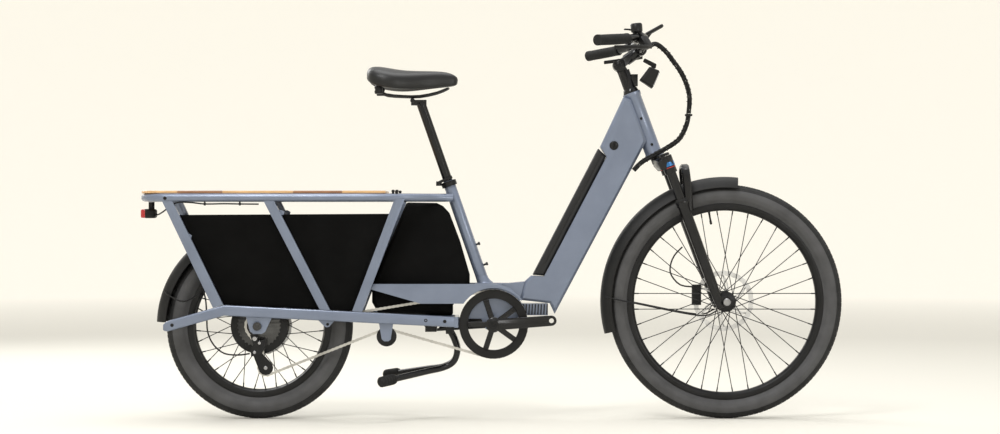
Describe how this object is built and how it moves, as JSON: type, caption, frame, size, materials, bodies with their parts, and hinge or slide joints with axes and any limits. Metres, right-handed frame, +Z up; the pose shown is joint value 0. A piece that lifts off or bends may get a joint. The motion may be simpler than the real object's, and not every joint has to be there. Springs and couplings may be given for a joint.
{
  "type": "longtail cargo bicycle",
  "caption": "Longtail electric cargo bicycle with wooden rear deck, side guards, suspension fork, step-through frame battery and centre stand.",
  "frame": {"origin": "on the ground, under the middle of the bounding box", "axes": "+X forward, +Y to the rider's left, +Z up"},
  "size_m": [2.046, 0.6907, 1.1507],
  "materials": {
    "paint": "satin metallic",
    "black_metal": "black anodised",
    "black_plastic": "matt",
    "rubber": "matt",
    "tyre": "matt",
    "silver": "satin",
    "wood": "clear lacquer",
    "leather": "smooth grain",
    "red_lens": "gloss"
  },
  "bodies": {
    "frame": {"front_frame": "paint", "bottom_bracket_yoke": "paint", "seat_tube": "paint", "seat_clamp_collar": "black_metal", "rack_frame": "paint", "deck_board": "wood", "chainstay_right": "paint", "chainstay_left": "paint", "side_panel_right": "black_plastic", "side_panel_left": "black_plastic", "centre_compartment": "black_plastic", "rear_fender": "black_plastic", "rear_axle": "silver", "rear_caliper": "black_metal", "derailleur": "black_metal", "tail_light": "red_lens", "kickstand_bracket": "black_metal", "chain": "silver", "shift_cable": "black_plastic"},
    "battery": {"battery_pack": "black_plastic"},
    "battery_lock": {"battery_lock": "black_metal"},
    "seat": {"seatpost": "black_metal", "saddle_rails": "silver", "saddle_cushion": "leather"},
    "seat_clamp_lever": {"seat_clamp_lever": "black_metal"},
    "kickstand": {"kickstand_legs": "black_metal"},
    "cranks": {"crank_right": "black_metal", "crank_left": "black_metal", "chainring": "black_metal"},
    "rear_wheel": {"rear_tyre": "tyre", "rear_rim": "black_metal", "rear_spokes": "black_metal", "hub_motor": "black_metal"},
    "cassette": {"cassette": "silver"},
    "chain_idler": {"chain_idler": "black_metal"},
    "jockey_upper": {"jockey_upper": "black_plastic"},
    "jockey_lower": {"jockey_lower": "black_plastic"},
    "fork": {"fork_crown": "black_metal", "stem_quill": "black_metal", "cable_bundle_lower": "black_plastic"},
    "fork_lowers": {"fork_lowers": "black_metal", "front_fender": "black_plastic", "front_caliper": "black_metal"},
    "front_wheel": {"front_tyre": "tyre", "front_rim": "black_metal", "front_spokes": "black_metal", "front_hub": "black_metal"},
    "cockpit": {"stem_arm": "black_metal", "handlebar": "black_metal", "grip_right": "rubber", "grip_left": "rubber", "controls_right": "black_metal", "brake_perch_left": "black_metal", "display": "black_plastic", "headlight": "black_plastic", "cable_bundle_upper": "black_plastic"},
    "brake_lever_right": {"brake_lever_right": "black_metal"},
    "brake_lever_left": {"brake_lever_left": "black_metal"},
    "shift_trigger": {"shift_trigger": "black_metal"},
    "bell_lever": {"bell_lever": "black_metal"}
  },
  "joints": [
    {"name": "steering", "type": "hinge", "parent": "frame", "child": "fork", "pos_m": [0.443, 0, 0.857], "axis": [-0.3453, 0, 0.9385], "range_deg": [-60, 60], "deforming": ["cable_bundle_lower"]},
    {"name": "suspension", "type": "slide", "parent": "fork", "child": "fork_lowers", "axis": [-0.3453, 0, 0.9385], "range_m": [0, 0.05], "stiffness_N_per_m": 20000},
    {"name": "front_wheel_spin", "type": "hinge", "parent": "fork_lowers", "child": "front_wheel", "pos_m": [0.6815, 0, 0.3415], "axis": [0, 1, 0], "continuous": true},
    {"name": "stem_tilt", "type": "hinge", "parent": "fork", "child": "cockpit", "pos_m": [0.372, 0, 1.031], "axis": [0, 1, 0], "range_deg": [-20, 2], "deforming": ["cable_bundle_upper"]},
    {"name": "brake_squeeze_right", "type": "hinge", "parent": "cockpit", "child": "brake_lever_right", "pos_m": [0.453, -0.2226, 1.07], "axis": [0, 0, -1], "range_deg": [0, 10], "stiffness_Nm_per_rad": 1},
    {"name": "brake_squeeze_left", "type": "hinge", "parent": "cockpit", "child": "brake_lever_left", "pos_m": [0.453, 0.2226, 1.07], "axis": [0, 0, 1], "range_deg": [0, 10], "stiffness_Nm_per_rad": 1},
    {"name": "shift_push", "type": "hinge", "parent": "cockpit", "child": "shift_trigger", "pos_m": [0.42, -0.196, 1.074], "axis": [0, 0, -1], "range_deg": [0, 15], "stiffness_Nm_per_rad": 0.3},
    {"name": "bell_ring", "type": "hinge", "parent": "cockpit", "child": "bell_lever", "pos_m": [0.401, -0.17, 1.121], "axis": [0, 0, 1], "range_deg": [0, 15], "stiffness_Nm_per_rad": 0.1},
    {"name": "crank_spin", "type": "hinge", "parent": "frame", "child": "cranks", "pos_m": [0.006, 0, 0.277], "axis": [0, 1, 0], "continuous": true},
    {"name": "cassette_spin", "type": "hinge", "parent": "frame", "child": "cassette", "pos_m": [-0.677, 0, 0.272], "axis": [0, 1, 0], "continuous": true},
    {"name": "idler_spin", "type": "hinge", "parent": "frame", "child": "chain_idler", "pos_m": [-0.3046, -0.049, 0.2415], "axis": [0, 1, 0], "continuous": true},
    {"name": "jockey_upper_spin", "type": "hinge", "parent": "frame", "child": "jockey_upper", "pos_m": [-0.68, -0.049, 0.19], "axis": [0, 1, 0], "continuous": true},
    {"name": "jockey_lower_spin", "type": "hinge", "parent": "frame", "child": "jockey_lower", "pos_m": [-0.655, -0.049, 0.15], "axis": [0, 1, 0], "continuous": true},
    {"name": "rear_wheel_spin", "type": "hinge", "parent": "frame", "child": "rear_wheel", "pos_m": [-0.677, 0, 0.272], "axis": [0, 1, 0], "continuous": true},
    {"name": "kickstand_swing", "type": "hinge", "parent": "frame", "child": "kickstand", "pos_m": [-0.122, 0, 0.258], "axis": [0, -1, 0], "range_deg": [0, 55]},
    {"name": "saddle_height", "type": "slide", "parent": "frame", "child": "seat", "axis": [-0.33, 0, 0.944], "range_m": [-0.1, 0.05]},
    {"name": "seat_clamp_swing", "type": "hinge", "parent": "frame", "child": "seat_clamp_lever", "pos_m": [-0.155, 0, 0.6855], "axis": [0, -1, 0], "range_deg": [0, 90]},
    {"name": "battery_removal", "type": "slide", "parent": "frame", "child": "battery", "axis": [-0.8821, 0, 0.4711], "range_m": [0, 0.12]},
    {"name": "battery_lock_turn", "type": "hinge", "parent": "frame", "child": "battery_lock", "pos_m": [0.356, -0.0296, 0.796], "axis": [0, -1, 0], "range_deg": [0, 90]}
  ],
  "couplings": [
    {"joint": "cassette_spin", "follows": "crank_spin", "ratio": 2.6216},
    {"joint": "idler_spin", "follows": "crank_spin", "ratio": -4.5116},
    {"joint": "jockey_upper_spin", "follows": "crank_spin", "ratio": -5.5429},
    {"joint": "jockey_lower_spin", "follows": "crank_spin", "ratio": 4.5116}
  ]
}
